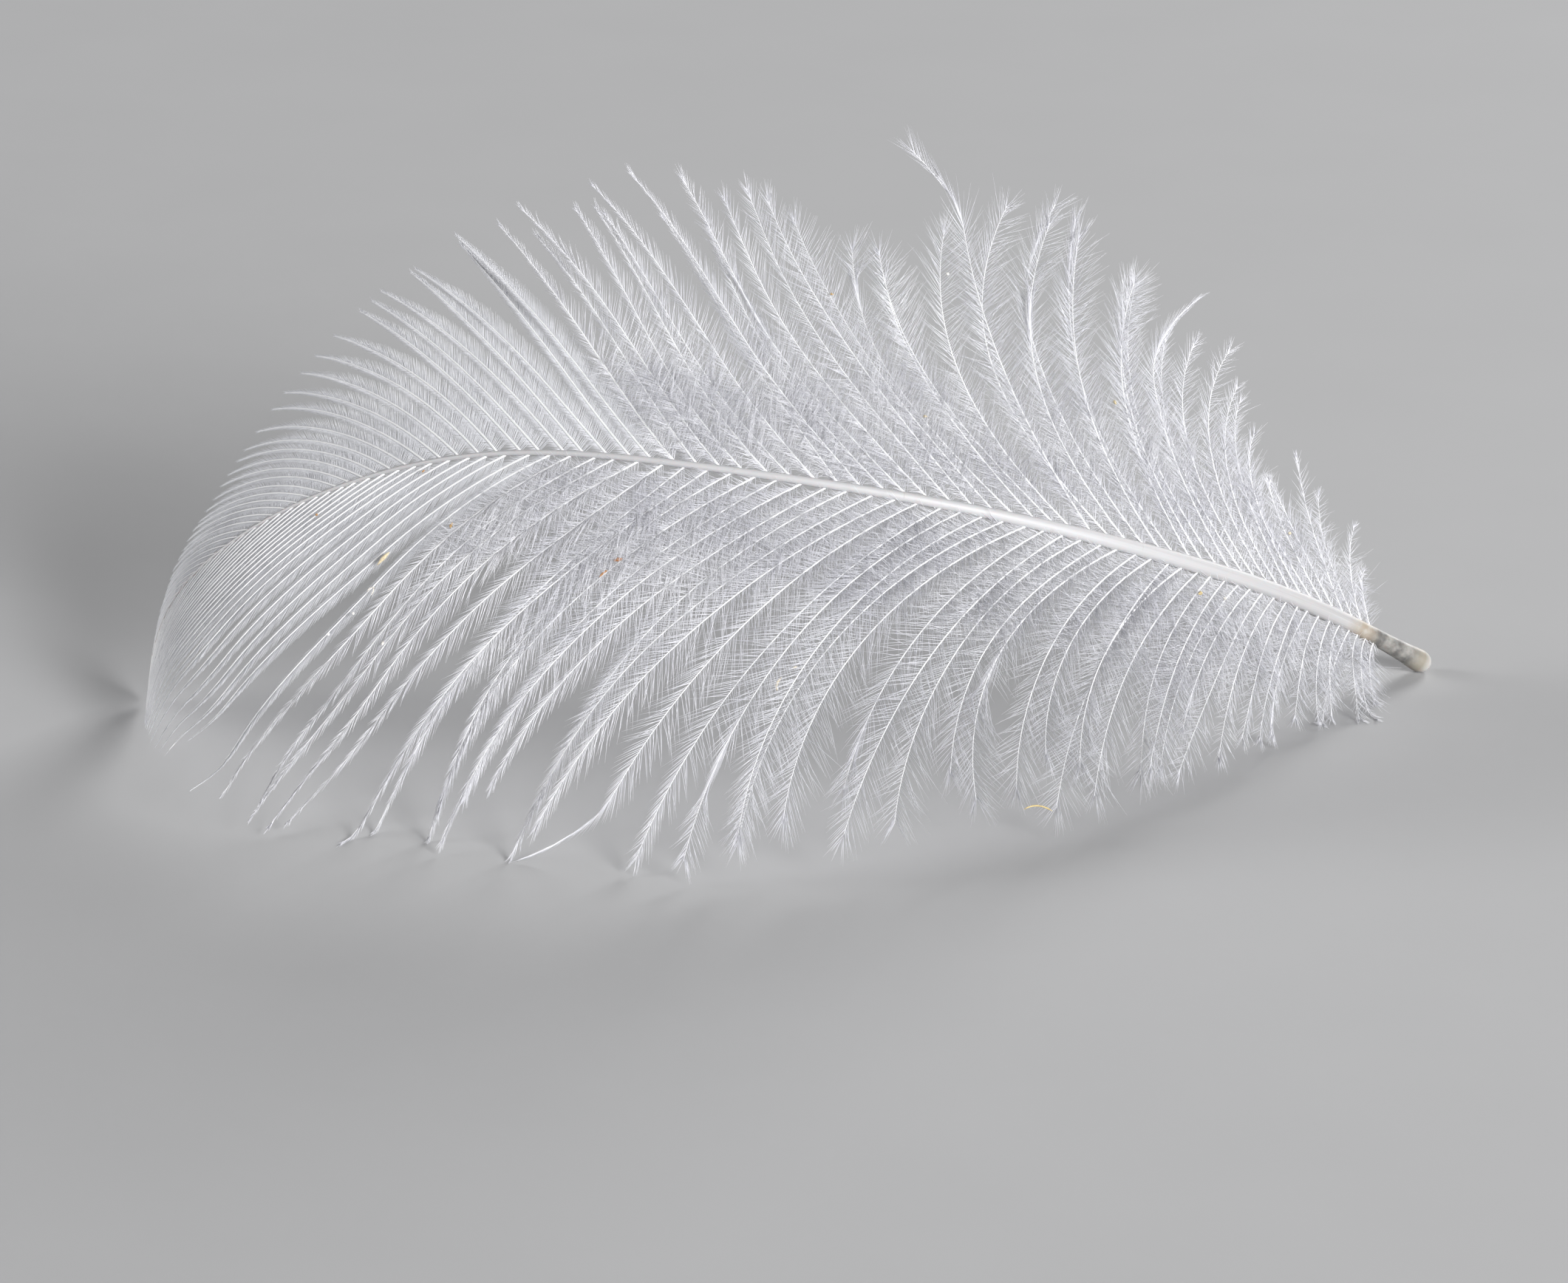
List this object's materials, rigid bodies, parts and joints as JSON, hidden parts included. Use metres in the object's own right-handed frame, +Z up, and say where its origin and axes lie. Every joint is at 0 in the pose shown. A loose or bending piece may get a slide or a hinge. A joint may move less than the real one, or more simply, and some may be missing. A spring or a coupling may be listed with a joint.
{
  "type": "ostrich feather",
  "caption": "Loose white curled body feather, lying arched on its barb tips and quill end, closed web at the tip and downy barbs along the rest.",
  "frame": {"origin": "middle of the feather's box, on the table", "axes": "+X from the barb tips at the shaft's thin end to the bare quill end, +Y towards the raised rear vane, +Z up"},
  "size_m": [0.1094, 0.0534, 0.0461],
  "materials": {
    "feather": "satin keratin, white, slightly translucent"
  },
  "bodies": {
    "root": {"feather": "feather"}
  },
  "joints": []
}
